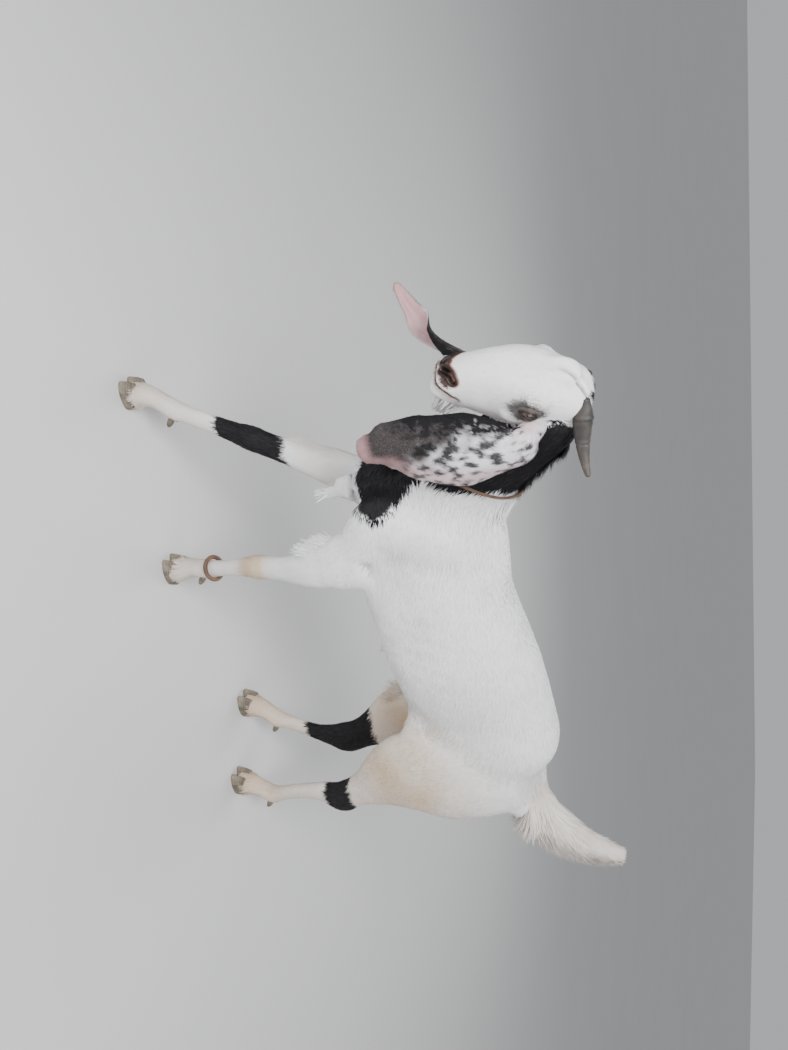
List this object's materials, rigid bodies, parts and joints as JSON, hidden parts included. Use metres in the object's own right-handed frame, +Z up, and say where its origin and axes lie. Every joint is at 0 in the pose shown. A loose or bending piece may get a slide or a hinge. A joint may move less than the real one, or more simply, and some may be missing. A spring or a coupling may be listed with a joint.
{
  "type": "sojat goat, still life-size model",
  "caption": "Standing white and black goat with a Roman nose, long hanging ears, short horns and a raised tail, stepping forward with its head turned to its left.",
  "frame": {"origin": "middle of the bounding box, on the floor that the hooves stand on", "axes": "+Z up, -Y the way the body faces, +X the goat's left side"},
  "size_m": [0.2736, 1.2486, 0.9759],
  "materials": {
    "white_coat": "short matte hair, white with cream staining",
    "black_coat": "short black hair with a low mane",
    "ear_skin": "thin haired skin, spotted, pink inside",
    "eye_gloss": "wet gloss",
    "horn": "ringed horn, satin",
    "hoof": "worn matt horn",
    "cord": "twisted cord",
    "band": "dull brown ring"
  },
  "bodies": {
    "root": {"torso": "white_coat", "head": "white_coat", "tail": "white_coat", "scrotum": "white_coat", "foreleg_left_upper": "white_coat", "foreleg_left_lower": "white_coat", "foreleg_right_upper": "white_coat", "foreleg_right_lower": "white_coat", "hindleg_left_upper": "white_coat", "hindleg_left_lower": "white_coat", "hindleg_right_upper": "white_coat", "hindleg_right_lower": "white_coat", "neck": "black_coat", "ear_left": "ear_skin", "ear_right": "ear_skin", "eye_left": "eye_gloss", "eye_right": "eye_gloss", "horn_left": "horn", "horn_right": "horn", "hoof_foreleg_left_inner": "hoof", "dewclaw_foreleg_left_inner": "hoof", "hoof_foreleg_left_outer": "hoof", "dewclaw_foreleg_left_outer": "hoof", "hoof_foreleg_right_inner": "hoof", "dewclaw_foreleg_right_inner": "hoof", "hoof_foreleg_right_outer": "hoof", "dewclaw_foreleg_right_outer": "hoof", "hoof_hindleg_left_inner": "hoof", "dewclaw_hindleg_left_inner": "hoof", "hoof_hindleg_left_outer": "hoof", "dewclaw_hindleg_left_outer": "hoof", "hoof_hindleg_right_inner": "hoof", "dewclaw_hindleg_right_inner": "hoof", "hoof_hindleg_right_outer": "hoof", "dewclaw_hindleg_right_outer": "hoof", "collar": "cord", "anklet": "band"}
  },
  "joints": []
}
